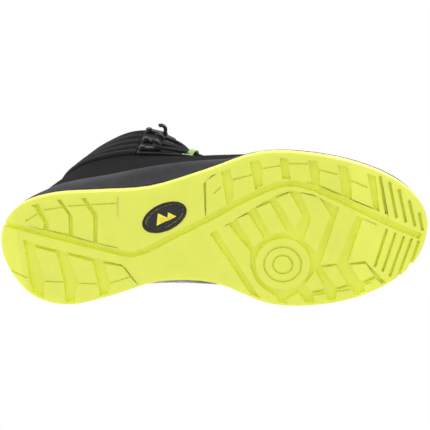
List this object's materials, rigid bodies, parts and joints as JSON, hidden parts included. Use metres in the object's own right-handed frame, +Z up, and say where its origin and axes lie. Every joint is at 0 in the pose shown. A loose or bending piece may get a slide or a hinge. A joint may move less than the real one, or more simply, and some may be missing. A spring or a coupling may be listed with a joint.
{
  "type": "mountaineering boot",
  "caption": "Right mid-cut hiking and safety boot with a lugged outsole, moulded midsole, padded ribbed collar, hook-and-loop lacing, hinged tongue and lift-out footbed.",
  "frame": {"origin": "on the ground under the middle of the outsole", "axes": "-Y towards the toe, +X towards the medial side (the wearer's left on this right boot), +Z up the leg"},
  "size_m": [0.1152, 0.308, 0.1641],
  "materials": {
    "lime_rubber": "matte moulded, lime yellow",
    "badge_rubber": "matte dark grey inlay",
    "midsole_foam": "matte dark grey moulded foam",
    "board": "tan pressed fibre",
    "steel": "plain steel",
    "plate_textile": "woven puncture-resistant textile",
    "footbed_foam": "dark textile on foam",
    "lining_mesh": "black spacer mesh",
    "cap_composite": "moulded composite",
    "upper_fabric": "black woven upper",
    "overlay": "black coated overlay",
    "padding": "black padded textile",
    "binding": "knitted edge binding",
    "webbing_black": "woven webbing",
    "webbing_green": "pastel green webbing",
    "hook_plastic": "dark grey moulded plastic",
    "rivet": "dark rivet heads",
    "lace": "round braided cord",
    "tip": "clear-coated dark tips"
  },
  "bodies": {
    "boot": {"outsole": "lime_rubber", "outsole_badge": "badge_rubber", "midsole": "midsole_foam", "insole_board": "board", "shank": "steel", "puncture_plate": "plate_textile", "lining": "lining_mesh", "toe_cap": "cap_composite", "heel_stiffener": "cap_composite", "vamp": "upper_fabric", "toe_guard": "overlay", "quarter_lateral": "upper_fabric", "quarter_medial": "upper_fabric", "heel_seam_tape": "overlay", "eyestay_lateral": "overlay", "eyestay_medial": "overlay", "collar_padding": "padding", "collar_binding": "binding", "heel_pull_loop": "webbing_black", "lace_loops": "webbing_green", "loop_rivets": "rivet", "lace_hooks": "hook_plastic", "hook_rivets": "rivet", "lace": "lace", "lace_tips": "tip"},
    "tongue": {"tongue": "padding"},
    "footbed": {"footbed": "footbed_foam"}
  },
  "joints": [
    {"name": "tongue_tilt", "type": "hinge", "parent": "boot", "child": "tongue", "pos_m": [0, -0.066, 0.08], "axis": [-1, 0, 0], "range_deg": [0, 4]},
    {"name": "footbed_lift", "type": "slide", "parent": "boot", "child": "footbed", "axis": [0, 0, 1], "range_m": [0, 0.006]}
  ]
}
